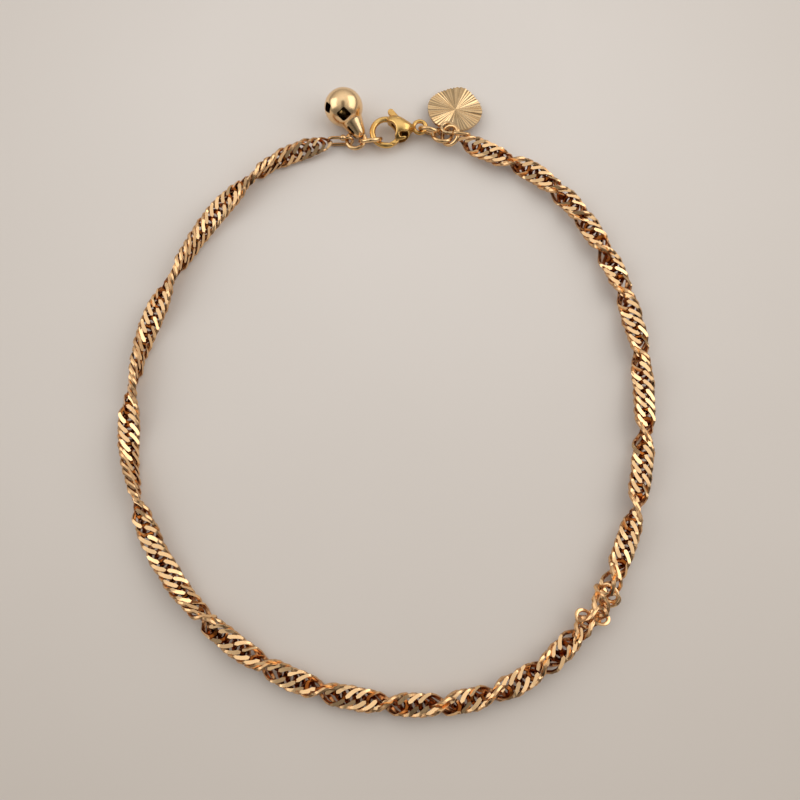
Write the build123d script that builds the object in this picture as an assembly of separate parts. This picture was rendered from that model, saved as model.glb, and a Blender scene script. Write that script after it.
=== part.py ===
from build123d import *
import math
import os

# Chain anklet, fastened and lying flat in its own loop. Millimetres, +Z up.
# The origin is on the table, under the middle of the loop's outer box; the clasp is at +Y.

# Driving dimensions
CHAIN_WIDTH = 3.4  # double curb chain, across its links
RING_WIRE = 0.27  # radius of the jump rings' wire
LINK_WIRE = 0.23  # radius of the oval links' wire
BEAD_RADIUS = 0.37  # bead of solder on the end link
BELL_RADIUS = 3.0
BELL_WALL = 0.3
PELLET_RADIUS = 1.2
PELLET_GAP = 0.02
HEART_THICKNESS = 0.5
HOOK_WIRE = 0.4  # radius of the clasp's hook
HOOK_BEND = 2.15  # hook, from the middle of its opening to the middle of its wire
LEVER_THICKNESS = 0.8
PIN_RADIUS = 0.28
PIN_LENGTH = 2.2
LEVER_GAP = 0.08  # lever to cheek and gate to hook tip
PIN_RUNNING_GAP = 0.05

# Half of the heart's outline, from its notch round to its tip; the eyelet's middle is the zero
HEART_SIDE = [
    (0, 0.45),
    (1.6, -0.1),
    (2.85, 0.7),
    (3.95, 2.2),
    (4.37, 4.1),
    (3.9, 5.9),
    (2.75, 7.3),
    (1.1, 8.6),
    (0, 9.0),
]

# Middle line of the chain seen from above, from the bell's end around to the heart's
ROUTE = [
    (-9.6, 37.4),
    (-14.7, 35.7),
    (-20.2, 32.2),
    (-25.2, 26.6),
    (-29.8, 19.5),
    (-33.6, 11.6),
    (-36.1, 3.3),
    (-37.15, -5.4),
    (-36.4, -14.1),
    (-33.8, -22.4),
    (-29.4, -29.9),
    (-23.5, -36.3),
    (-16.4, -41.4),
    (-8.3, -44.7),
    (0.3, -46.3),
    (9.0, -46.3),
    (17.4, -44.0),
    (24.6, -39.0),
    (30.0, -32.2),
    (33.7, -24.3),
    (36.0, -15.8),
    (37.15, -7.2),
    (37.3, 1.5),
    (36.1, 10.2),
    (33.2, 18.4),
    (29.1, 26.0),
    (23.2, 32.0),
    (16.4, 35.15),
    (13.0, 36.85),
]

# Jump rings: middle, the way the flat side faces, radius to the middle of the wire
END_RING = ((-4.97, 38.02, 1.18), (-0.144, 0.018, 0.989), 1.45)
CLASP_RING = ((-2.66, 37.70, 1.72), (-0.116, 0.830, 0.545), 1.62)
EYE_RING = ((6.58, 39.3, 1.69), (0.258, 0.912, 0.317), 1.5)
MIDDLE_RING = ((8.63, 38.52, 1.74), (0.049, 0.368, 0.928), 1.5)
CHARM_RING = ((9.81, 38.28, 2.13), (-0.588, -0.187, 0.787), 1.47)

# Oval links: middle, facing, the way the long side runs, half length, half width
END_LINK = ((-7.44, 37.99, 0.97), (0.011, -0.973, 0.232), (1, 0, 0), 1.92, 0.72)
START_LINK = ((11.58, 38.0, 2.87), (0.09, 0.901, 0.424), (1, -0.45, -0.35), 1.35, 0.68)

# Heart and bell: places and directions
HEART_EYELET = (9.53, 39.57, 2.12)
HEART_ALONG = (0.284, 0.936, -0.207)
HEART_FACING = (0.06, 0.198, 0.978)
BELL_MIDDLE = (-6.88, 42.73, 3.0)
BELL_NECK = (0.52, -0.769, -0.372)
BELL_SIDE = (0.346, 0.588, -0.731)  # across the neck, towards one of its four gaps
BELL_HOLES = [(0.04, -0.8, 0.6), (-0.84, -0.3, 0.4), (-0.6, 0.7, -0.2), (0.5, 0.75, 0.1)]


def corner_radius(before, corner, after):
    """The largest round corner that leaves a tenth of the shorter run straight."""
    run_in = corner - before
    run_out = after - corner
    half_turn = math.radians(run_in.get_angle(run_out)) / 2
    return 0.45 * min(run_in.length, run_out.length) / math.tan(half_turn)


def make_chain():
    """The chain as one round tube along its true route, on the table."""
    points = [Vector(x, y, CHAIN_WIDTH / 2) for x, y in ROUTE]
    radii = [corner_radius(*three) for three in zip(points, points[1:], points[2:])]
    print("chain corner radii:", [round(radius, 1) for radius in radii])
    path = FilletPolyline(*points, radius=radii)
    section = Plane(origin=path @ 0, z_dir=path % 0) * Circle(CHAIN_WIDTH / 2)
    tube = sweep(section, path=path)
    expected = path.length * math.pi * (CHAIN_WIDTH / 2) ** 2
    print(f"chain length {path.length:.1f}, volume {tube.volume:.1f}, expected {expected:.1f}")
    return tube


def make_ring(middle, facing, radius, wire=RING_WIRE):
    """A closed jump ring whose flat side faces the given way."""
    return Plane(origin=middle, z_dir=facing) * Torus(radius, wire)


def make_oval_link(middle, facing, along, half_length, half_width, bead=0):
    """A soldered oval link, as two equal halves; a bead of solder may stand on one side."""
    straight = half_length - half_width
    corner = (straight, half_width)
    bend = ThreePointArc(corner, (half_length, 0), (straight, -half_width))
    path = Line((-straight, half_width), corner) + bend
    half = sweep(Plane(origin=path @ 0, z_dir=path % 0) * Circle(LINK_WIRE), path=path)
    link = half + Rot(0, 0, 180) * half
    if bead:
        link += Pos(0.8, half_width + 0.06) * Sphere(bead)
    return Plane(origin=middle, x_dir=along, z_dir=facing) * link


def lay_clasp():
    """The clasp's own plane: x towards its eye, y towards its thumb nub, z up off the table."""
    turn = math.radians(10.5)
    lift = math.radians(8)
    along = Vector(math.cos(turn), math.sin(turn), 0)
    across = Vector(-math.sin(turn) * math.cos(lift), math.cos(turn) * math.cos(lift), math.sin(lift))
    return Plane(origin=(-0.32, 39.11, 1.5), x_dir=along, z_dir=along.cross(across))


CLASP = lay_clasp()
OPENING = (0.1, 0.05)  # middle of the hook's opening, in the clasp's plane
OPENING_RADIUS = 1.85
PIVOT = (2.35, 1.35)
HOOK_TIP = Plane(origin=(0.62, -2.05, 0), x_dir=(0.87, -0.5, 0), z_dir=(0.5, 0.87, 0))
NUB = [(1.75, 2.6), (1.42, 3.2)]  # thumb nub, from the body's edge to its round end
NUB_RADIUS = 0.45
BOSS_RADIUS = 0.62  # lever's boss, around its pin
CHEEK_RADIUS = 1.62  # body's edge round the opening; its cheeks cover the gate's root
GATE_SPREAD = (-82, -16, 50)  # the gate, in degrees round the opening
EYE = (5.5, 0)
EYE_RADIUS = 0.97

# Clasp body, oval sections from the hook to the eye: x, y, half height, half thickness
BODY_SECTIONS = [
    (0.7, 0.30, 2.1, 1.0),
    (1.2, 0.33, 2.2, 1.25),
    (2.0, 0.30, 2.2, 1.4),
    (3.0, 0.10, 1.75, 1.4),
    (3.8, 0.12, 0.95, 1.05),
    (4.4, 0.05, 0.5, 0.55),
    (4.7, 0.0, 0.3, 0.3),
]


def make_clasp_hook():
    """Hook, slotted body and eye, cast in one."""
    ovals = [
        Plane(origin=(x, y, 0), x_dir=(0, 1, 0), z_dir=(1, 0, 0)) * Ellipse(high, thick)
        for x, y, high, thick in BODY_SECTIONS
    ]
    body = loft(ovals)
    opening = Pos(*OPENING) * Cylinder(CHEEK_RADIUS, 6)
    throat = Pos(0.35, -1.2) * Box(2, 3.6, 6)
    body -= [opening, throat]

    bend = CenterArc(OPENING, HOOK_BEND, 62, 226)
    hook = sweep(Plane(origin=bend @ 0, z_dir=bend % 0) * Circle(HOOK_WIRE), path=bend)
    beyond_tip = HOOK_TIP * Pos(0, 0, 1.5 - LEVER_GAP / 2) * Box(2, 3, 3)
    hook -= beyond_tip

    eye = Pos(*EYE) * Torus(EYE_RADIUS, RING_WIRE)
    casting = body + hook + eye

    slot_width = LEVER_THICKNESS + 2 * LEVER_GAP
    slot = Pos(2.275, 0) * Box(2.15, 8, slot_width)
    window = Pos(2.75, -1.0, 1.4) * extrude(RectangleRounded(1.5, 0.8, 0.3), 2, both=True)
    upper_window = window & Pos(2.75, -1.0, 2) * Box(3, 3, 4)
    pin_hole = Pos(*PIVOT) * Cylinder(PIN_RADIUS + 0.02, PIN_LENGTH + 0.04)
    return CLASP * (casting - [slot, upper_window, pin_hole])


def make_clasp_lever():
    """The gate, its boss on the pin and the thumb nub, one flat piece."""
    band = Circle(HOOK_BEND + 0.35) - Circle(OPENING_RADIUS)
    beyond_band = Vector(2 * HOOK_BEND, 0)
    fan_points = [beyond_band.rotate(Axis.Z, angle) for angle in GATE_SPREAD]
    fan = make_face(Polyline((0, 0), *fan_points, close=True))
    gate = Pos(*OPENING) * (band & fan)
    boss = Pos(*PIVOT) * Circle(BOSS_RADIUS)
    nub_root = Pos(*NUB[0]) * Circle(NUB_RADIUS)
    nub_end = Pos(*NUB[1]) * Circle(NUB_RADIUS)
    arm = make_hull(boss.edges() + nub_root.edges())
    nub = make_hull(nub_root.edges() + nub_end.edges())
    lever = extrude(gate + boss + arm + nub, LEVER_THICKNESS / 2, both=True)
    beyond_gate = HOOK_TIP * Pos(0, 0, LEVER_GAP / 2 - 1.5) * Box(3, 3, 3)
    bore = Pos(*PIVOT) * Cylinder(PIN_RADIUS + PIN_RUNNING_GAP, 3)
    return CLASP * (lever - [beyond_gate, bore])


def make_heart():
    """Flat plump heart with a soft tip, and an eyelet cast on at its notch."""
    side = Spline(*HEART_SIDE)
    outline = make_face(side + mirror(side, Plane.YZ))
    plate = extrude(outline, HEART_THICKNESS / 2, both=True)
    heart = plate + Torus(1.05, 0.25) - Cylinder(0.8, 3)
    across = Vector(*HEART_ALONG).cross(Vector(*HEART_FACING))
    return Plane(origin=HEART_EYELET, x_dir=across, z_dir=HEART_FACING) * heart


def neck_shape(narrower):
    """Solid neck of the bell, along z, drawn in by the given amount."""
    outline = Polyline(
        (0, 1.5),
        (1.85 - narrower, 1.5),
        (1.85 - narrower, 2.4),
        (1.45 - narrower, 3.6),
        (1.05 - narrower, 4.7),
        (0.65 - narrower, 5.35 - narrower),
        (0, 5.5 - narrower),
        close=True,
    )
    profile = Plane.XZ * make_face(outline)
    return revolve(profile, Axis.Z)


def make_pellet():
    """The loose ball, resting on the bottom of the bell's hollow."""
    drop = BELL_RADIUS - BELL_WALL - PELLET_GAP - PELLET_RADIUS
    return Pos(*BELL_MIDDLE) * Pos(0, 0, -drop) * Sphere(PELLET_RADIUS)


def make_bell():
    """Hollow ball with round holes and a neck of four straps that meet at its tip."""
    shell = Sphere(BELL_RADIUS) + neck_shape(0)
    shell -= Sphere(BELL_RADIUS - BELL_WALL) + neck_shape(BELL_WALL)
    gap = Pos(1.5, 0, 4.2) * Box(3, 0.6, 1.9)
    shell -= [Rot(0, 0, quarter) * gap for quarter in (0, 90, 180, 270)]
    bell = Plane(origin=BELL_MIDDLE, x_dir=BELL_SIDE, z_dir=BELL_NECK) * shell
    for facing in BELL_HOLES:
        bell -= Plane(origin=BELL_MIDDLE, z_dir=facing) * Pos(0, 0, BELL_RADIUS) * Cylinder(1.0, 2)
    seat = RING_WIRE + 0.08
    return bell - [make_ring(*END_RING, seat), make_ring(*CLASP_RING, seat)]


os.makedirs("parts", exist_ok=True)
pieces = {
    "chain": make_chain(),
    "chain_end_link": make_oval_link(*END_LINK, BEAD_RADIUS),
    "chain_end_ring": make_ring(*END_RING),
    "clasp_ring": make_ring(*CLASP_RING),
    "clasp_hook": make_clasp_hook(),
    "clasp_lever": make_clasp_lever(),
    "lever_pin": CLASP * Pos(*PIVOT) * Cylinder(PIN_RADIUS, PIN_LENGTH),
    "eye_ring": make_ring(*EYE_RING),
    "middle_ring": make_ring(*MIDDLE_RING),
    "charm_ring": make_ring(*CHARM_RING),
    "chain_start_link": make_oval_link(*START_LINK),
    "heart_charm": make_heart(),
    "bell_shell": make_bell(),
    "bell_pellet": make_pellet(),
}
for name, solid in pieces.items():
    export_step(solid, f"parts/{name}.step")
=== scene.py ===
import math
import random
import bpy
from mathutils import Matrix, Vector


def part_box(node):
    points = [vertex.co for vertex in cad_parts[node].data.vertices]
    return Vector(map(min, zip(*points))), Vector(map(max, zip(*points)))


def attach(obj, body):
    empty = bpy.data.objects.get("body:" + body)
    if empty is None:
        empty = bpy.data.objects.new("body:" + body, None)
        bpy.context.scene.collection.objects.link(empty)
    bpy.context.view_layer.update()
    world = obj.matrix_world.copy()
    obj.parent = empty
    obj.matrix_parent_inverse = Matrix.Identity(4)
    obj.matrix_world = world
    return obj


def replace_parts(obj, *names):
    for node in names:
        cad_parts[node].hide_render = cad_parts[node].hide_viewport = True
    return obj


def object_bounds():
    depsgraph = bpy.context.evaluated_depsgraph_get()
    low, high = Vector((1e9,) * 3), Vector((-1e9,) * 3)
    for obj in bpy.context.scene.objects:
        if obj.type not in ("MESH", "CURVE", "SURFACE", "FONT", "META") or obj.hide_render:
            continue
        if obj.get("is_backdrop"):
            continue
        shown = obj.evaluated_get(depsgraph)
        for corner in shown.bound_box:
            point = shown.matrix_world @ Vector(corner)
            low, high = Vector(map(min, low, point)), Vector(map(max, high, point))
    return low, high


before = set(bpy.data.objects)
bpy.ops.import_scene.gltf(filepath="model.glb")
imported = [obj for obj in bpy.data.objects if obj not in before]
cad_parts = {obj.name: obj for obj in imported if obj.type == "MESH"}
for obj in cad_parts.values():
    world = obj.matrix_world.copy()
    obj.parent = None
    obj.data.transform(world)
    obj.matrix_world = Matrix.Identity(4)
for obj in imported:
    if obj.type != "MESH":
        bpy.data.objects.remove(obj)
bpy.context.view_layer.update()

# ---------------------------------------------------------------------------
# The table: matt coated board, warm off-white. Wide soft windows stand at the
# right and the left, and a pale ceiling slopes up at the back and fills in.
# ---------------------------------------------------------------------------

BOARD = "E6DFD8"
# The board's colour where the painted shade of the falling-off light is deepest.
BOARD_PAINTED_SHADE = "C4BAAF"
TABLE_SIZE = 1.6
# How much of the ceiling's light the person leaning over the table keeps off.
PERSON_SHADE = 0.86


def linear(hex_code):
    """A colour written as sRGB hex, as the linear values that shaders work in."""
    parts = [int(hex_code[k:k + 2], 16) / 255 for k in (0, 2, 4)]
    return (*[p / 12.92 if p <= 0.04045 else ((p + 0.055) / 1.055) ** 2.4 for p in parts], 1)


def add_node(tree, kind, settings, links):
    """A node of a kind, with its settings by name or socket, and what feeds its sockets."""
    node = tree.nodes.new(kind)
    for key, value in settings.items():
        if isinstance(key, str) and hasattr(node, key):
            setattr(node, key, value)
        else:
            node.inputs[key].default_value = value
    for key, output in links.items():
        tree.links.new(output, node.inputs[key])
    return node


def new_material(name):
    """An empty material, its tree and its Object coordinates."""
    material = bpy.data.materials.new(name)
    material.use_nodes = True
    tree = material.node_tree
    tree.nodes.clear()
    place = add_node(tree, "ShaderNodeTexCoord", {}, {}).outputs["Object"]
    return material, tree, place


def aim(thing, place, target):
    """Puts a lamp or the camera at a place, looking at its target."""
    thing.location = place
    thing.rotation_euler = (Vector(target) - Vector(place)).to_track_quat("-Z", "Y").to_euler()


bpy.ops.object.select_all(action="DESELECT")
bpy.ops.mesh.primitive_plane_add(size=TABLE_SIZE, location=(0, 0, 0))
table = bpy.context.object
table.name = "table"
# Coated board: a dielectric with a faint mottle, and painted shade: greyer away from a point near the middle,
# where the light falls off.
material, tree, place = new_material("coated_board")
mottle = add_node(tree, "ShaderNodeTexNoise", {"Scale": 28.0, "Detail": 3.0}, {"Vector": place})
outward = add_node(tree, "ShaderNodeVectorMath", {"operation": "DISTANCE", 1: (0, 0.05, 0)}, {0: place})
painted_falloff = add_node(tree, "ShaderNodeMapRange", {"From Min": 0.03, "From Max": 0.13, "To Max": 0.8},
                   {"Value": outward.outputs["Value"]})
mottle_and_painted_shade = add_node(tree, "ShaderNodeMath", {"operation": "MULTIPLY_ADD", 1: 0.12}, {0: mottle.outputs["Fac"],
                                                                              2: painted_falloff.outputs[0]})
tint = add_node(tree, "ShaderNodeMix", {"data_type": "RGBA", 6: linear(BOARD), 7: linear(BOARD_PAINTED_SHADE)},
                {0: mottle_and_painted_shade.outputs[0]})
tooth = add_node(tree, "ShaderNodeTexNoise", {"Scale": 1600.0, "Detail": 2.0}, {"Vector": place})
raised = add_node(tree, "ShaderNodeBump", {"Strength": 0.05, "Distance": 0.00005},
                  {"Height": tooth.outputs["Fac"]})
coat = add_node(tree, "ShaderNodeBsdfPrincipled", {"Roughness": 0.62},
                {"Base Color": tint.outputs[2], "Normal": raised.outputs["Normal"]})
add_node(tree, "ShaderNodeOutputMaterial", {}, {"Surface": coat.outputs[0]})
table.data.materials.append(material)
table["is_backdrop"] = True

for name, place, width, height, watts in (
        ("window", (0.40, 0.10, 0.30), 0.66, 0.38, 1.06),
        ("far_window", (-0.42, 0.06, 0.27), 0.44, 0.34, 0.62)):
    data = bpy.data.lights.new(name, "AREA")
    data.shape = "RECTANGLE"
    data.size, data.size_y = width, height
    data.energy = watts
    data.color = (1.0, 0.985, 0.97)
    lamp = bpy.data.objects.new(name, data)
    bpy.context.collection.objects.link(lamp)
    aim(lamp, place, (0, 0, 0))

# The room: a pale ceiling, brightest towards the back, above darker walls. Someone
# leans over the table from the front, and the metal mirrors them as a dark band.
room = bpy.data.worlds.new("room")
bpy.context.scene.world = room
room.use_nodes = True
tree = room.node_tree
tree.nodes.clear()
view = add_node(tree, "ShaderNodeTexCoord", {}, {}).outputs["Generated"]
slope = add_node(tree, "ShaderNodeVectorMath", {"operation": "DOT_PRODUCT", 1: (0, 0.38, 0.92)}, {0: view})
falloff = add_node(tree, "ShaderNodeMapRange", {"From Min": 0.26, "To Min": 0.20, "To Max": 1.05},
                   {"Value": slope.outputs["Value"]}).outputs[0]
way = add_node(tree, "ShaderNodeSeparateXYZ", {}, {0: view})
aside = add_node(tree, "ShaderNodeMath", {"operation": "ABSOLUTE"}, {0: way.outputs["X"]})
slim = add_node(tree, "ShaderNodeMapRange",
                {"From Min": 0.10, "From Max": 0.24, "To Min": 1.0, "To Max": 0.0},
                {"Value": aside.outputs[0]})
near = add_node(tree, "ShaderNodeMapRange",
                {"From Min": 0.02, "From Max": 0.16, "To Min": 1.0, "To Max": 0.0},
                {"Value": way.outputs["Y"]})
leaning = add_node(tree, "ShaderNodeMapRange", {"From Min": 0.32, "From Max": 0.5},
                   {"Value": way.outputs["Z"]})
width = add_node(tree, "ShaderNodeMath", {"operation": "MULTIPLY"},
                 {0: slim.outputs[0], 1: near.outputs[0]})
person = add_node(tree, "ShaderNodeMath", {"operation": "MULTIPLY"},
                  {0: width.outputs[0], 1: leaning.outputs[0]})
unshaded = add_node(tree, "ShaderNodeMath", {"operation": "MULTIPLY_ADD", 1: -PERSON_SHADE, 2: 1.0},
                    {0: person.outputs[0]})
glow = add_node(tree, "ShaderNodeMath", {"operation": "MULTIPLY"}, {0: falloff, 1: unshaded.outputs[0]})
sky = add_node(tree, "ShaderNodeBackground", {"Color": (1.0, 0.975, 0.95, 1)}, {"Strength": glow.outputs[0]})
add_node(tree, "ShaderNodeOutputWorld", {}, {"Surface": sky.outputs[0]})
bpy.context.scene.view_settings.view_transform = "Standard"

# The camera looks down steeply from the near side, the loop filling the frame.
lens = bpy.data.cameras.new("camera")
lens.lens = 40.5
lens.sensor_width = 36
lens.clip_start = 0.001
camera = bpy.data.objects.new("camera", lens)
bpy.context.collection.objects.link(camera)
aim(camera, (0.00196, -0.03924, 0.12672), (0.00196, -0.0041, 0))
bpy.context.scene.camera = camera

# ---------------------------------------------------------------------------
# The chain: a double curb of gold alloy wire. Each twisted link passes through
# two neighbours; both faces were planed flat, then the whole chain was twisted.
# ---------------------------------------------------------------------------

MM = 0.001
LINK_REACH = 1.95
LINK_SPREAD = 1.34
LINK_WIRE = 0.405
LINK_SIDES = 6
LINK_STEPS = 22
LINK_TWIST = 65
PLANED_AT = 0.62
PITCH = 1.383
FIRST_LINK = 0.7
# A link that the kink has forced open, and how bright the kink's links are painted: the least value of their
# rub and painted shade, where 1 is the bright colour.
OPENED_REACH = 1.28
OPENED_SPREAD = 0.98
OPENED_WIRE = 0.23
OPENED_RUB_AND_SHADE = 0.9
KINK_RUB_AND_SHADE = 0.55

# Where the chain runs on the table, in millimetres, from the end link round the
# loop to the start link, where it rises to meet the rings.
ROUTE = [
    (-9.6, 37.4, 1.35), (-14.7, 35.7, 1.6), (-20.2, 32.2, 1.7), (-25.2, 26.6, 1.7), (-29.8, 19.5, 1.7),
    (-33.6, 11.6, 1.7), (-36.1, 3.3, 1.7), (-37.15, -5.4, 1.7), (-36.4, -14.1, 1.7), (-33.8, -22.4, 1.7),
    (-29.4, -29.9, 1.7), (-23.5, -36.3, 1.7), (-16.4, -41.4, 1.7), (-8.3, -44.7, 1.7), (0.3, -46.3, 1.7),
    (9.0, -46.3, 1.7), (17.4, -44.0, 1.7), (24.6, -39.0, 1.7), (30.0, -32.2, 1.7), (33.7, -24.3, 1.7),
    (36.0, -15.8, 1.7), (37.15, -7.2, 1.7), (37.3, 1.5, 1.7), (36.1, 10.2, 1.7), (33.2, 18.4, 1.7),
    (29.1, 26.0, 1.7), (23.2, 32.0, 1.7), (16.4, 35.15, 1.8), (12.75, 36.9, 2.0),
]

# Distances along the chain, in millimetres, at which it stands on edge. It makes
# half a turn from each to the next. Up to TAPERS_TO it turns fast at first and then
# slower, by the power TAPER; after that it jerks round close to each edge.
ON_EDGE = [
    -9.0, 11.4, 31.6, 50.0, 67.4, 87.6, 97.6, 106.1, 115.0, 122.2, 129.2, 136.3, 142.8,
    152.3, 162.3, 173.2, 185.2, 195.0, 202.2, 208.4, 213.8, 222.0, 231.5,
]
TAPERS_TO = 67.4
TAPER = 1.6
JERK = 0.76
JERK_SWAY = 0.10

# Where the turns are short the links splay: none stands nearer to its edge than
# SPLAY_ANGLE. Those within SPLAY_NEAR of it lean out, in millimetres, and swing round.
SPLAY_ANGLE = 22
SPLAY_NEAR = 75
SPLAY_OUT = 0.4
SPLAY_SWING = 16
SPLAYED = [(86.0, 158.0), (171.5, 217.0)]

# The chain is kinked at the near right. Each link there is given by its distance
# along, sideways and upwards in millimetres, how far it is turned about itself and
# swung round in degrees, and whether the kink has forced it open into a round loop.
KINK = [
    (143.3, 0.0, 0.0, 55, 10, False), (144.2, -0.45, 0.0, 100, -12, False),
    (145.05, 0.62, 0.5, 14, 82, True), (145.9, 0.0, 0.55, 75, -38, False),
    (146.5, -0.9, 0.0, -18, -78, True), (147.4, 0.3, 0.5, 66, 6, False),
    (148.3, 0.15, 0.2, 110, 40, False), (149.1, -0.85, 0.35, 30, -58, True),
    (149.9, -0.5, 0.3, -40, 62, True), (150.7, 0.1, 0.1, -70, -15, False),
    (151.6, 0.0, 0.0, -35, 8, False),
]
KINK_FROM, KINK_TO = 142.8, 152.3
# The chain is drawn tight at its two ends, so these links, by number, are smaller.
END_SIZE = {0: 0.72, 1: 0.86, 166: 0.92}


def placed(piece, middle, facing, along, unit=MM):
    """Moves a piece to its place, its z axis facing one way. Millimetres stay so with unit 1."""
    z = Vector(facing).normalized()
    y = z.cross(Vector(along)).normalized()
    turn = Matrix((y.cross(z), y, z)).transposed().to_4x4()
    piece.data.transform(Matrix.Scale(unit, 4) @ Matrix.Translation(Vector(middle)) @ turn)


def select_only(piece):
    """Leaves one piece selected and active, in object mode."""
    bpy.ops.object.select_all(action="DESELECT")
    piece.select_set(True)
    bpy.context.view_layer.objects.active = piece


def finish_with(piece, kind, **settings):
    """Adds a modifier to a piece and applies it."""
    select_only(piece)
    modifier = piece.modifiers.new("shape", kind)
    for key, value in settings.items():
        setattr(modifier, key, value)
    bpy.ops.object.modifier_apply(modifier=modifier.name)


def choose_faces(piece, wanted):
    """In edit mode, selects the faces that a test picks out."""
    bpy.ops.mesh.select_all(action="DESELECT")
    bpy.ops.object.mode_set(mode="OBJECT")
    for face in piece.data.polygons:
        face.select = wanted(face)
    bpy.ops.object.mode_set(mode="EDIT")


bpy.ops.object.select_all(action="DESELECT")
bpy.ops.mesh.primitive_torus_add(major_radius=LINK_REACH, minor_radius=LINK_WIRE,
                                 major_segments=LINK_STEPS, minor_segments=LINK_SIDES)
link = bpy.context.object
bpy.ops.object.mode_set(mode="EDIT")
bpy.ops.mesh.select_all(action="SELECT")
bpy.ops.transform.resize(value=(1, LINK_SPREAD / LINK_REACH, 1))
bpy.ops.object.mode_set(mode="OBJECT")
finish_with(link, "SIMPLE_DEFORM", deform_method="TWIST", deform_axis="X",
            angle=-math.radians(2 * LINK_TWIST * (LINK_REACH + LINK_WIRE) / LINK_REACH))
bpy.ops.object.mode_set(mode="EDIT")
for side in (1, -1):
    bpy.ops.mesh.select_all(action="SELECT")
    bpy.ops.mesh.bisect(plane_co=(0, 0, side * PLANED_AT), plane_no=(0, 0, side),
                        clear_outer=True, use_fill=True)
bpy.ops.object.mode_set(mode="OBJECT")

# How bright the metal is painted: bright on the planed faces, which were cut, and towards the outside; inside
# each link a painted shade darkens it, where the links shade each other.
rub_and_shade = link.data.attributes.new("rub_and_shade", "FLOAT", "FACE")
for face, value in zip(link.data.polygons, rub_and_shade.data):
    planed = abs(face.normal.z) > 0.999 and abs(face.center.z) > PLANED_AT - 0.01
    out = math.hypot(face.center.y, face.center.z) / (LINK_SPREAD + LINK_WIRE)
    value.value = 1.0 if planed else min(0.7, max(0.0, 1.4 * out - 0.5))

path = bpy.data.curves.new("route", "CURVE")
path.dimensions = "3D"
path.resolution_u = 24
run = path.splines.new("NURBS")
run.points.add(len(ROUTE) - 1)
for point, (x, y, z) in zip(run.points, ROUTE):
    point.co = (x, y, z, 1)
run.order_u = 3
run.use_endpoint_u = True
route = bpy.data.objects.new("route", path)
bpy.context.collection.objects.link(route)
bpy.context.view_layer.update()
line = [v.co.copy() for v in bpy.data.meshes.new_from_object(route).vertices]
bpy.data.objects.remove(route)
gone = [0.0]
for a, b in zip(line, line[1:]):
    gone.append(gone[-1] + (b - a).length)
length = gone[-1]


def on_route(distance):
    """The point at a distance along the chain, and the way that the chain runs there."""
    distance = min(max(distance, 0), length - 1e-6)
    k = next(i for i in range(len(gone) - 1) if gone[i + 1] > distance)
    part = (distance - gone[k]) / (gone[k + 1] - gone[k])
    return line[k].lerp(line[k + 1], part), (line[k + 1] - line[k]).normalized()


def twist_at(distance):
    """How far the chain's flat face has turned past standing on edge, in degrees, and half turns done."""
    k = max(i for i in range(len(ON_EDGE) - 1) if ON_EDGE[i] <= distance)
    span = ON_EDGE[k + 1] - ON_EDGE[k]
    part = (distance - ON_EDGE[k]) / span
    if distance < TAPERS_TO:
        return 180 * (1 - (1 - part) ** TAPER), k
    jerked = part ** JERK
    return 180 * (jerked + JERK_SWAY * math.sin(2 * math.pi * jerked)), k


bpy.ops.object.select_all(action="DESELECT")
bpy.ops.mesh.primitive_torus_add(major_radius=OPENED_SPREAD, minor_radius=OPENED_WIRE,
                                 major_segments=LINK_STEPS, minor_segments=8)
opened = bpy.context.object
bpy.ops.object.mode_set(mode="EDIT")
bpy.ops.mesh.select_all(action="SELECT")
bpy.ops.transform.resize(value=(OPENED_REACH / OPENED_SPREAD, 1, 1))
bpy.ops.object.mode_set(mode="OBJECT")
# The opened link is painted bright all over, with little painted shade.
rub_and_shade = opened.data.attributes.new("rub_and_shade", "FLOAT", "FACE")
for value in rub_and_shade.data:
    value.value = OPENED_RUB_AND_SHADE

links = []


def lay_link(shape, distance, side, lift, turn, swing, size=1):
    """Lays a copy of a link on the route, shifted aside and up, turned about itself and swung round."""
    point, ahead = on_route(distance)
    level = Vector((0, 0, 1)).cross(ahead).normalized()
    upright = ahead.cross(level)
    turn, swing = math.radians(turn), math.radians(swing)
    lean = ahead * math.cos(swing) + level * math.sin(swing)
    across = upright.cross(lean) * math.cos(turn) + upright * math.sin(turn)
    own = bpy.data.objects.new("link", shape.data.copy())
    bpy.context.collection.objects.link(own)
    own.data.transform(Matrix.Scale(size, 4))
    placed(own, point + level * side + upright * lift, lean.cross(across), lean)
    links.append(own)
    return own


wobble = random.Random(11)
count = round((length - FIRST_LINK) / PITCH)
for i in range(count + 1):
    distance = FIRST_LINK + i * (length - FIRST_LINK) / count
    past_edge, half_turns = twist_at(distance)
    if any(start < distance < end for start, end in SPLAYED):
        past_edge = SPLAY_ANGLE + past_edge * (180 - 2 * SPLAY_ANGLE) / 180
        beside = max(0, 1 - min(past_edge, 180 - past_edge) / SPLAY_NEAR)
        if past_edge <= 90:
            beside = -beside
        side = SPLAY_OUT * beside
        swing = wobble.gauss(0, 5) + SPLAY_SWING * beside
    else:
        side, swing = 0, wobble.gauss(0, 1.7)
    turn = -90 - past_edge - 180 * half_turns + wobble.gauss(0, 6)
    side += wobble.gauss(0, 0.04)
    if not KINK_FROM < distance < KINK_TO:
        lay_link(link, distance, side, 0, turn, swing, END_SIZE.get(i, 1))
for distance, side, lift, turn, swing, forced_open in KINK:
    own = lay_link(opened if forced_open else link, distance, side, lift, turn, swing)
    # The kink's links get less painted shade.
    for value in own.data.attributes["rub_and_shade"].data:
        value.value = max(KINK_RUB_AND_SHADE, value.value)
bpy.data.objects.remove(opened)
bpy.data.objects.remove(link)
select_only(links[0])
for own in links:
    own.select_set(True)
bpy.ops.object.join()
chain = links[0]
chain.name = "twisted_curb_chain"
bpy.ops.object.shade_smooth_by_angle(angle=math.radians(38))


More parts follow.
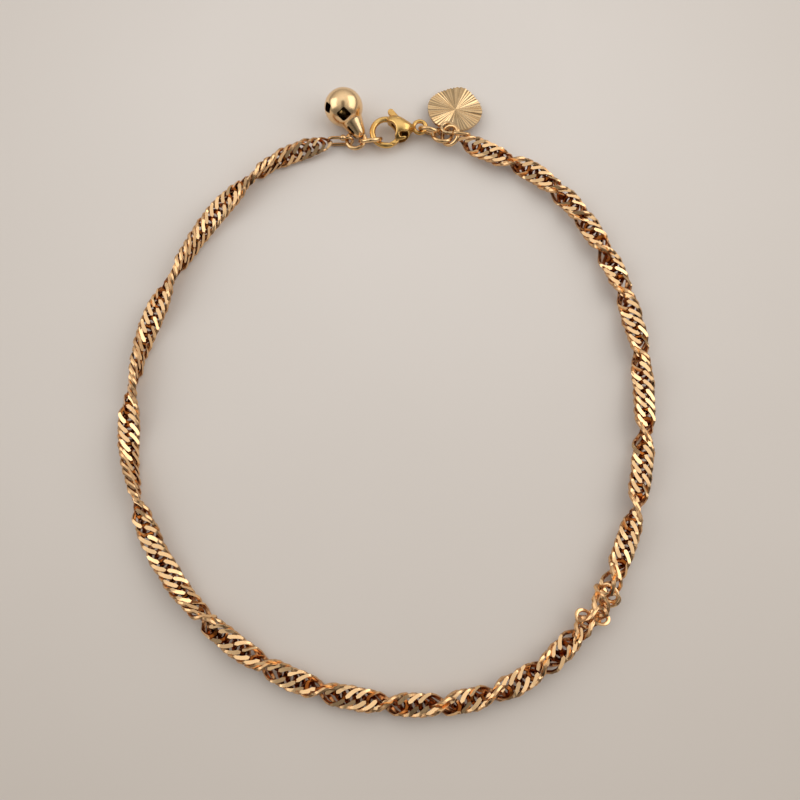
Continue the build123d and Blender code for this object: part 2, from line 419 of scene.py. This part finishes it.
def gold_finish(name, bright, deep, gloss, haze, scratch, rub_and_shade_attribute=None):
    """Gold alloy: a colour between deep and bright, set by random noise or by a named attribute (on the
    chain, its rub and painted shade), with fine scratches and a faint haze.
    """
    material, tree, place = new_material(name)
    if rub_and_shade_attribute:
        amount = add_node(tree, "ShaderNodeAttribute", {"attribute_name": rub_and_shade_attribute}, {}).outputs["Fac"]
    else:
        cloud = add_node(tree, "ShaderNodeTexNoise", {"Scale": 420.0, "Detail": 3.0}, {"Vector": place})
        amount = add_node(tree, "ShaderNodeMapRange", {"From Min": 0.3, "From Max": 0.62, "To Min": 0.45},
                          {"Value": cloud.outputs["Fac"]}).outputs[0]
    tint = add_node(tree, "ShaderNodeMix", {"data_type": "RGBA", 6: linear(deep), 7: linear(bright)},
                    {0: amount})
    smear = add_node(tree, "ShaderNodeTexNoise", {"Scale": 900.0, "Detail": 4.0}, {"Vector": place})
    rough = add_node(tree, "ShaderNodeMapRange",
                     {"From Min": 0.3, "From Max": 0.7, "To Min": gloss, "To Max": gloss + haze},
                     {"Value": smear.outputs["Fac"]})
    marks = add_node(tree, "ShaderNodeTexNoise", {"Scale": 9000.0, "Detail": 2.0}, {"Vector": place})
    raised = add_node(tree, "ShaderNodeBump", {"Strength": scratch, "Distance": 0.00001},
                      {"Height": marks.outputs["Fac"]})
    metal = add_node(tree, "ShaderNodeBsdfPrincipled", {"Metallic": 1.0},
                     {"Base Color": tint.outputs[2], "Roughness": rough.outputs[0],
                      "Normal": raised.outputs["Normal"]})
    add_node(tree, "ShaderNodeOutputMaterial", {}, {"Surface": metal.outputs[0]})
    return material


# Rose-tinted 14 carat gold: mirror bright on the planed faces, with painted shade, browner, inside the links
# where they shade each other.
chain.data.materials.clear()
chain.data.materials.append(gold_finish("planed_rose_gold", "F7CD99", "90501F", 0.15, 0.10, 0.10, rub_and_shade_attribute="rub_and_shade"))
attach(chain, "anklet")
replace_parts(chain, "chain")

# ---------------------------------------------------------------------------
# End link and start link: plain oval links of thinner wire that join the chain
# to the rings. The end link was closed with a bead of solder.
# ---------------------------------------------------------------------------

OVAL_WIRE = 0.25
BEAD = 0.5
# Drawn wire, dipped bright after soldering: it mirrors the room in long clean streaks.
ring_gold = gold_finish("drawn_gold_wire", "F0C892", "9C6A3A", 0.13, 0.10, 0.08)


def oval_link(name, middle, facing, along, reach, spread, bead):
    """A wire oval, stretched from a round ring, with a solder bead on one side if asked."""
    bpy.ops.object.select_all(action="DESELECT")
    bpy.ops.mesh.primitive_torus_add(major_radius=spread, minor_radius=OVAL_WIRE,
                                     major_segments=48, minor_segments=14)
    piece = bpy.context.object
    piece.name = name
    for end in (1, -1):
        bpy.ops.object.mode_set(mode="EDIT")
        choose_faces(piece, lambda face: face.center.x * end > 0)
        bpy.ops.transform.translate(value=(end * (reach - spread), 0, 0))
        bpy.ops.object.mode_set(mode="OBJECT")
    if bead:
        bpy.ops.object.select_all(action="DESELECT")
        bpy.ops.mesh.primitive_uv_sphere_add(radius=BEAD, segments=28, ring_count=18,
                                             location=(0.45, spread - 0.04, 0))
        bpy.ops.object.transform_apply(location=True)
        piece.select_set(True)
        bpy.context.view_layer.objects.active = piece
        bpy.ops.object.join()
        finish_with(piece, "REMESH", mode="VOXEL", voxel_size=0.035)
        finish_with(piece, "SMOOTH", factor=0.5, iterations=6)
    select_only(piece)
    bpy.ops.object.shade_smooth()
    placed(piece, middle, facing, along)
    piece.data.materials.append(ring_gold)
    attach(piece, "anklet")
    return piece


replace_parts(oval_link("soldered_end_link", (-7.44, 37.99, 0.97), (0.011, -0.973, 0.232), (1, 0, 0),
                      1.92, 0.72, True), "chain_end_link")
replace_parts(oval_link("start_link", (11.5, 38.04, 2.9), (0.09, 0.901, 0.424), (1, -0.45, -0.35),
                      1.25, 0.68, False), "chain_start_link")

# ---------------------------------------------------------------------------
# Jump rings: round wire wound on a rod, sawn into rings and pinched shut, so
# each has a hair-fine cut. Five of them join the drops, the clasp and the chain.
# ---------------------------------------------------------------------------

RING_WIRE = 0.32
SAW_CUT = 0.05
RING_STEPS = 72
# The middle, facing and radius of the two rings at the bell's neck, which is cut to clear them.
END_RING = ((-4.97, 38.02, 1.18), (-0.144, 0.018, 0.989), 1.45)
CLASP_RING = ((-2.66, 37.70, 1.72), (-0.116, 0.830, 0.545), 1.62)


def jump_ring(name, node, middle, facing, radius, cut_way):
    """A sawn wire ring; its cut is turned towards cut_way."""
    bpy.ops.object.select_all(action="DESELECT")
    bpy.ops.mesh.primitive_torus_add(major_radius=radius, minor_radius=RING_WIRE,
                                     major_segments=RING_STEPS, minor_segments=18)
    piece = bpy.context.object
    piece.name = name
    bpy.ops.object.mode_set(mode="EDIT")
    half = math.pi / RING_STEPS
    choose_faces(piece, lambda face: abs(math.atan2(face.center.y, face.center.x) - half) < half * 0.5)
    bpy.ops.mesh.delete(type="ONLY_FACE")
    bpy.ops.mesh.select_all(action="DESELECT")
    bpy.ops.mesh.select_mode(type="EDGE")
    bpy.ops.mesh.select_non_manifold()
    bpy.ops.transform.rotate(value=half, orient_axis="Z", center_override=(0, 0, 0))
    bpy.ops.mesh.select_mode(type="VERT")
    bpy.ops.object.mode_set(mode="OBJECT")
    for v in piece.data.vertices:
        if v.select:
            v.co.y = math.copysign(SAW_CUT / 2, v.co.y)
    bpy.ops.object.mode_set(mode="EDIT")
    bpy.ops.mesh.fill_holes(sides=0)
    bpy.ops.mesh.select_mode(type="FACE")
    bpy.ops.object.mode_set(mode="OBJECT")
    bpy.ops.object.shade_smooth_by_angle(angle=math.radians(40))
    placed(piece, middle, facing, cut_way)
    piece.data.materials.append(ring_gold)
    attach(piece, "anklet")
    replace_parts(piece, node)


jump_ring("end_jump_ring", "chain_end_ring", *END_RING, (-0.3, -1, 0))
jump_ring("clasp_jump_ring", "clasp_ring", *CLASP_RING, (-0.7, 0, -0.7))
jump_ring("eye_jump_ring", "eye_ring", (6.58, 39.3, 1.75), (0.258, 0.912, 0.317), 1.5, (0, 0.3, -1))
jump_ring("middle_jump_ring", "middle_ring", (8.63, 38.52, 1.74), (0.049, 0.368, 0.928), 1.5, (-0.4, -1, 0))
jump_ring("charm_jump_ring", "charm_ring", (9.81, 38.28, 2.13), (-0.588, -0.187, 0.787), 1.47, (0.2, -1, 0))

# ---------------------------------------------------------------------------
# Lobster clasp: hook and lever cast in yellow gold alloy, tumbled to a satin
# and pinned together. The castings' edges are soft, so each is melted a little.
# ---------------------------------------------------------------------------


CASTING_GRAIN = 0.055
CASTING_ROUNDS = 14


def casting(node, name, swell):
    """A copy of a CAD node with its edges softened as a tumbled casting's are."""
    piece = bpy.data.objects.new(name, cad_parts[node].data.copy())
    bpy.context.collection.objects.link(piece)
    piece.data.transform(Matrix.Scale(1 / MM, 4))
    select_only(piece)
    bpy.ops.object.mode_set(mode="EDIT")
    bpy.ops.mesh.select_all(action="SELECT")
    bpy.ops.mesh.remove_doubles(threshold=0.0005)
    bpy.ops.object.mode_set(mode="OBJECT")
    finish_with(piece, "REMESH", mode="VOXEL", voxel_size=CASTING_GRAIN)
    finish_with(piece, "CORRECTIVE_SMOOTH", factor=0.5, iterations=CASTING_ROUNDS, use_only_smooth=True)
    finish_with(piece, "DISPLACE", strength=swell, mid_level=0)
    select_only(piece)
    bpy.ops.object.shade_smooth()
    piece.data.transform(Matrix.Scale(MM, 4))
    piece.data.materials.clear()
    return piece


# Yellow gold alloy, tumbled with ceramic chips: soft wide highlights; in the hollows of the slot, painted
# shade makes it browner.
satin_gold = gold_finish("satin_cast_gold", "EEC47A", "B87E32", 0.19, 0.11, 0.16)
# In the slot the faces are painted a dark brown: painted shade, for the shade in the slot.
painted_slot_shade = gold_finish("casting_painted_shade", "7A5020", "402608", 0.45, 0.15, 0.3)
CLASP_MIDDLE = Vector((-0.32, 39.11, 1.5))
CLASP_ALONG = Vector((0.98325, 0.18224, 0))
CLASP_UP = Vector((0.02536, -0.13684, 0.99027))
# Half the slot's height, where it runs along the clasp, and the part of the lever within it.
SLOT_HALF = 0.65
SLOT_FROM, SLOT_TO = 1.2, 3.5
ROOT_FROM = 1.95
ROOT_LEFT, ROOT_RIGHT = -1.75, 2.2
for node, name, body, swell in (("clasp_hook", "clasp_body", "anklet", 0.07),
                                ("clasp_lever", "clasp_trigger", "lever", 0.03)):
    piece = casting(node, name, swell)
    piece.data.materials.append(satin_gold)
    piece.data.materials.append(painted_slot_shade)
    # Slot walls and the lever's root inside the body get the painted shade.
    for face in piece.data.polygons:
        spot = face.center / MM - CLASP_MIDDLE
        along, across, up = spot.dot(CLASP_ALONG), spot.dot(CLASP_UP.cross(CLASP_ALONG)), spot.dot(CLASP_UP)
        if node == "clasp_hook":
            wall = abs(up) < SLOT_HALF and face.normal.dot(CLASP_UP) * up < -0.2
            in_painted_shade = wall and SLOT_FROM < along < SLOT_TO
        else:
            in_painted_shade = along > ROOT_FROM and ROOT_LEFT < across < ROOT_RIGHT
        face.material_index = 1 if in_painted_shade else 0
    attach(piece, body)
    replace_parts(piece, node)

# The lever's pin: drawn wire, its ends peened over into low domes.
PIN_RADIUS = 0.28
PIN_LENGTH = 2.2
low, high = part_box("lever_pin")
bpy.ops.object.select_all(action="DESELECT")
bpy.ops.mesh.primitive_cylinder_add(vertices=40, radius=PIN_RADIUS, depth=PIN_LENGTH)
pin = bpy.context.object
pin.name = "clasp_pin"
finish_with(pin, "BEVEL", width=0.12, segments=4, limit_method="ANGLE")
select_only(pin)
bpy.ops.object.shade_smooth_by_angle(angle=math.radians(40))
placed(pin, (low + high) / 2 / MM, CLASP_UP, (1, 0, 0))
pin.data.materials.append(satin_gold)
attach(pin, "anklet")
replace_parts(pin, "lever_pin")

# ---------------------------------------------------------------------------
# Heart charm: a plump heart stamped from plate, its face cut with a sunburst
# of bright grooves. A wire eyelet is soldered into its cleft.
# ---------------------------------------------------------------------------

HEART_THICKNESS = 0.5
RAYS = 50
GROOVE = 0.12
EYELET_RADIUS = 1.05
EYELET_WIRE = 0.275
EYELET_HOLE = 0.96
RAY_CENTRE = Vector((0.08, 3.95, 0))
HEART_SIDE = [(0, 0.45), (1.6, -0.1), (2.85, 0.7), (3.95, 2.2), (4.37, 4.1), (3.9, 5.9), (2.75, 7.3),
              (1.1, 8.6), (0, 9.0)]

outline = bpy.data.curves.new("heart", "CURVE")
edge = outline.splines.new("BEZIER")
around = HEART_SIDE + [(-x, y) for x, y in reversed(HEART_SIDE[1:-1])]
edge.bezier_points.add(len(around) - 1)
for point, (x, y) in zip(edge.bezier_points, around):
    point.co = (x, y, 0)
    point.handle_left_type = point.handle_right_type = "AUTO"
edge.use_cyclic_u = True
outline.resolution_u = 20
shape = bpy.data.objects.new("heart", outline)
bpy.context.collection.objects.link(shape)
bpy.context.view_layer.update()
rim = sorted((math.atan2(v.co.y - RAY_CENTRE.y, v.co.x - RAY_CENTRE.x),
              (v.co - RAY_CENTRE).length) for v in bpy.data.meshes.new_from_object(shape).vertices)
bpy.data.objects.remove(shape)


def rim_reach(angle):
    """How far the heart's edge lies from the middle of the rays, in one direction."""
    ring = [(a - 2 * math.pi, r) for a, r in rim[-3:]] + rim + [(a + 2 * math.pi, r) for a, r in rim[:3]]
    for (a, ra), (b, rb) in zip(ring, ring[1:]):
        if a <= angle < b:
            return ra + (rb - ra) * (angle - a) / (b - a)


bpy.ops.object.select_all(action="DESELECT")
bpy.ops.mesh.primitive_circle_add(vertices=RAYS * 2, radius=1, fill_type="TRIFAN")
heart = bpy.context.object
heart.name = "sunburst_heart"
bpy.ops.object.mode_set(mode="EDIT")
bpy.ops.mesh.select_all(action="SELECT")
bpy.ops.mesh.extrude_region_move(TRANSFORM_OT_translate={"value": (0, 0, -HEART_THICKNESS)})
bpy.ops.object.mode_set(mode="OBJECT")
step = math.pi / RAYS
hand = random.Random(5)
rays = [(hand.uniform(-0.3, 0.3), hand.uniform(0.6, 1.2)) for _ in range(RAYS * 2)]
for v in heart.data.vertices:
    face_side = v.co.z > -HEART_THICKNESS / 2
    level = HEART_THICKNESS / 2 if face_side else -HEART_THICKNESS / 2
    if v.co.xy.length < 0.5:
        v.co = RAY_CENTRE + Vector((0, 0, level - (GROOVE / 2 if face_side else 0)))
        continue
    angle = math.atan2(v.co.y, v.co.x)
    number = round(angle / step) % (2 * RAYS)
    drift, depth = rays[number]
    depth *= GROOVE if number % 2 == 1 and face_side else 0
    angle = (angle + drift * step + math.pi) % (2 * math.pi) - math.pi
    reach = rim_reach(angle) - (0 if face_side else 0.06) - 0.7 * depth
    v.co = RAY_CENTRE + Vector((reach * math.cos(angle), reach * math.sin(angle), level - depth))
bpy.ops.object.mode_set(mode="EDIT")
bpy.ops.mesh.select_all(action="SELECT")
bpy.ops.mesh.normals_make_consistent(inside=False)
bpy.ops.object.mode_set(mode="OBJECT")


def cut_with(piece, cutter, operation="DIFFERENCE"):
    """Cuts a piece by another, or adds the other to it, and removes the other."""
    finish_with(piece, "BOOLEAN", operation=operation, object=cutter, solver="EXACT")
    bpy.data.objects.remove(cutter)


bpy.ops.mesh.primitive_cylinder_add(vertices=40, radius=EYELET_HOLE, depth=2)
cut_with(heart, bpy.context.object)
bpy.ops.mesh.primitive_torus_add(major_radius=EYELET_RADIUS, minor_radius=EYELET_WIRE,
                                 major_segments=48, minor_segments=16)
cut_with(heart, bpy.context.object, "UNION")
select_only(heart)
bpy.ops.object.shade_smooth_by_angle(angle=math.radians(9))
heart_up, heart_out = Vector((0.284, 0.936, -0.207)), Vector((0.06, 0.198, 0.978))
placed(heart, (9.53, 39.57, 2.12), heart_out, heart_up.cross(heart_out))
# Cut with a diamond point and left so: each groove's two slopes flash light and dark.
heart.data.materials.append(gold_finish("diamond_cut_gold", "DDBE92", "C49E6C", 0.15, 0.06, 0.03))
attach(heart, "anklet")
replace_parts(heart, "heart_charm")

# ---------------------------------------------------------------------------
# Bell: a jingle bell drawn from sheet, polished outside. Its neck is drawn out
# and pierced so the end ring passes through it; a loose pellet rattles inside.
# ---------------------------------------------------------------------------

BELL_RADIUS = 3.0
BELL_WALL = 0.3
BELL_MIDDLE = Vector((-6.88, 42.73, 3.0))
BELL_NECK = Vector((0.52, -0.769, -0.372))
BELL_SIDE = Vector((0.346, 0.588, -0.731))
RING_ROOM = 0.08
NECK_SHAPE = [(2.4, 1.8), (3.0, 1.62), (3.6, 1.42), (4.2, 1.22), (4.7, 1.05), (5.1, 0.85), (5.35, 0.6),
              (5.5, 0.0)]
# The neck's gaps: their direction about it in degrees, height up it, width and length.
NECK_GAPS = [(196, 3.7, 0.42, 1.5), (238, 4.3, 0.5, 1.6), (15, 4.0, 0.5, 1.8), (320, 4.0, 0.5, 1.8)]
# The sound holes: which way each faces, and half of its diagonal.
SOUND_HOLES = [((0.06, -0.81, 0.58), 1.22), ((-0.81, -0.34, 0.48), 1.0), ((-0.6, 0.7, -0.2), 1.2),
               ((0.5, 0.75, 0.1), 1.2)]

bpy.ops.object.select_all(action="DESELECT")
bpy.ops.mesh.primitive_uv_sphere_add(segments=96, ring_count=72, radius=BELL_RADIUS)
bell = bpy.context.object
bell.name = "jingle_bell"
shoulder = math.acos(NECK_SHAPE[0][0] / BELL_RADIUS)
for v in bell.data.vertices:
    tilt = math.acos(max(-1, min(1, v.co.z / BELL_RADIUS)))
    if tilt < shoulder:
        part = (1 - tilt / shoulder) * (len(NECK_SHAPE) - 1)
        k = min(int(part), len(NECK_SHAPE) - 2)
        (h0, r0), (h1, r1) = NECK_SHAPE[k:k + 2]
        height, reach = h0 + (h1 - h0) * (part - k), r0 + (r1 - r0) * (part - k)
        way = v.co.xy.normalized() if v.co.xy.length > 1e-6 else Vector((0, 0))
        v.co = (way.x * reach, way.y * reach, height)
finish_with(bell, "SOLIDIFY", thickness=BELL_WALL, offset=-1, use_even_offset=True)
for turn, height, wide, tall in NECK_GAPS:
    turn = math.radians(turn)
    bpy.ops.mesh.primitive_cube_add(size=1, location=(2 * math.cos(turn), 2 * math.sin(turn), height),
                                    rotation=(0, 0, turn), scale=(4, wide, tall))
    slot_cut = bpy.context.object
    bpy.ops.object.transform_apply(location=True, rotation=True, scale=True)
    finish_with(slot_cut, "BEVEL", width=wide * 0.4, segments=4)
    cut_with(bell, slot_cut)
placed(bell, BELL_MIDDLE, BELL_NECK, BELL_SIDE, unit=1)
for way, half_diagonal in SOUND_HOLES:
    bpy.ops.mesh.primitive_cylinder_add(vertices=4, radius=half_diagonal, depth=2.6)
    hole = bpy.context.object
    finish_with(hole, "BEVEL", width=half_diagonal / 4, segments=5, limit_method="ANGLE")
    placed(hole, BELL_MIDDLE + Vector(way).normalized() * BELL_RADIUS, way, (0, 1, 0.1), unit=1)
    cut_with(bell, hole)
for middle, facing, radius in (END_RING, CLASP_RING):
    bpy.ops.mesh.primitive_torus_add(major_radius=radius, minor_radius=RING_WIRE + RING_ROOM,
                                     major_segments=64, minor_segments=20)
    room_cut = bpy.context.object
    placed(room_cut, middle, facing, (1, 0.1, 0), unit=1)
    cut_with(bell, room_cut)
bell.data.transform(Matrix.Scale(MM, 4))
select_only(bell)
bpy.ops.object.shade_smooth_by_angle(angle=math.radians(35))
# Thin gold plate over polished brass: the two windows and the ceiling stand in it clearly.
bell.data.materials.append(gold_finish("polished_gold_plate", "F4D2A2", "E6BD88", 0.2, 0.06, 0.03))
# Inside, the sheet was never polished; it is painted nearly black, a painted shade for the dark within the
# shell.
bell.data.materials.append(gold_finish("unpolished_inside_painted_shade", "3A1C0A", "120804", 0.45, 0.2, 0.2))
# Faces turned inwards get the painted shade.
for face in bell.data.polygons:
    spot = face.center / MM - BELL_MIDDLE
    outward = spot.dot(face.normal) > 0 if spot.dot(BELL_NECK) < NECK_SHAPE[0][0] else \
        (spot - BELL_NECK * spot.dot(BELL_NECK)).dot(face.normal) > -0.05
    face.material_index = 0 if outward else 1
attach(bell, "anklet")
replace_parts(bell, "bell_shell")

low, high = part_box("bell_pellet")
bpy.ops.object.select_all(action="DESELECT")
bpy.ops.mesh.primitive_ico_sphere_add(subdivisions=4, radius=(high - low).x / 2 / MM)
pellet = bpy.context.object
pellet.name = "bell_pellet_ball"
for v in pellet.data.vertices:
    v.co *= 1 - 0.02 * (1 + math.sin(5 * v.co.x + 2) * math.sin(4 * v.co.y) * math.cos(6 * v.co.z))
select_only(pellet)
bpy.ops.object.shade_smooth()
placed(pellet, (low + high) / 2 / MM, (0, 0, 1), (1, 0, 0))
# Bare brass, tumbled and dull, seen only as a glint through the sound holes.
pellet.data.materials.append(gold_finish("raw_brass_pellet", "C9A063", "8F6A36", 0.28, 0.15, 0.3))
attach(pellet, "anklet")
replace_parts(pellet, "bell_pellet")

low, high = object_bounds()
